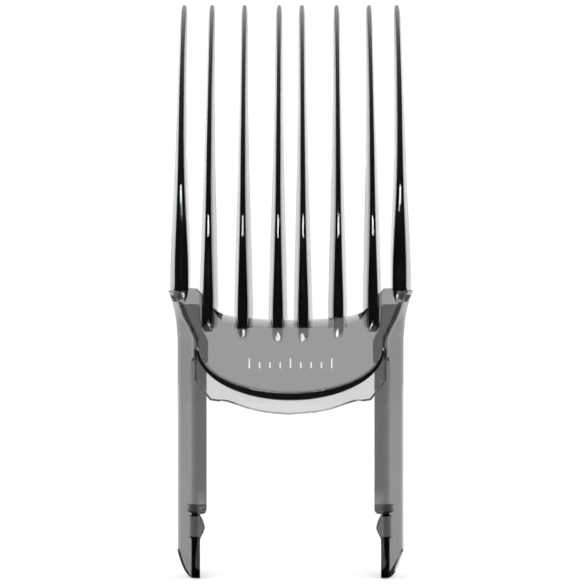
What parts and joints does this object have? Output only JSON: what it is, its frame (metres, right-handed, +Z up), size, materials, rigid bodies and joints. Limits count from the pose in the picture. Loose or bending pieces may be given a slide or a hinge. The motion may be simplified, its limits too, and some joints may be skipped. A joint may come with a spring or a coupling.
{
  "type": "hair clipper guide comb",
  "caption": "Long adjustable guide comb of clear smoke-grey plastic with curved teeth, a rounded front plate and two snap arms.",
  "frame": {"origin": "middle of the bounding box's underside, on the ends of the arms", "axes": "+Z up from the arm ends to the tooth tips, -Y towards the viewer (the front plate's face), +X to the viewer's right"},
  "size_m": [0.0524, 0.0165, 0.125],
  "materials": {
    "smoke_plastic": "clear smoke-grey, polished"
  },
  "bodies": {
    "comb": {"face_plate": "smoke_plastic", "rim_wall": "smoke_plastic", "lip": "smoke_plastic", "tooth_1": "smoke_plastic", "tooth_2": "smoke_plastic", "tooth_3": "smoke_plastic", "tooth_4": "smoke_plastic", "tooth_5": "smoke_plastic", "tooth_6": "smoke_plastic", "tooth_7": "smoke_plastic", "tooth_8": "smoke_plastic", "gusset_left": "smoke_plastic", "gusset_right": "smoke_plastic", "shoulder_left": "smoke_plastic", "shoulder_right": "smoke_plastic"},
    "arm_left": {"arm_wall_left": "smoke_plastic", "flange_left": "smoke_plastic", "tongue_left": "smoke_plastic", "bump_left": "smoke_plastic"},
    "arm_right": {"arm_wall_right": "smoke_plastic", "flange_right": "smoke_plastic", "tongue_right": "smoke_plastic", "bump_right": "smoke_plastic"}
  },
  "joints": [
    {"name": "left_arm_flex", "type": "hinge", "parent": "comb", "child": "arm_left", "pos_m": [-0.0251, 0, 0.038], "axis": [0, 1, 0], "range_deg": [0, 4], "stiffness_Nm_per_rad": 4},
    {"name": "right_arm_flex", "type": "hinge", "parent": "comb", "child": "arm_right", "pos_m": [0.0251, 0, 0.038], "axis": [0, -1, 0], "range_deg": [0, 4], "stiffness_Nm_per_rad": 4}
  ]
}
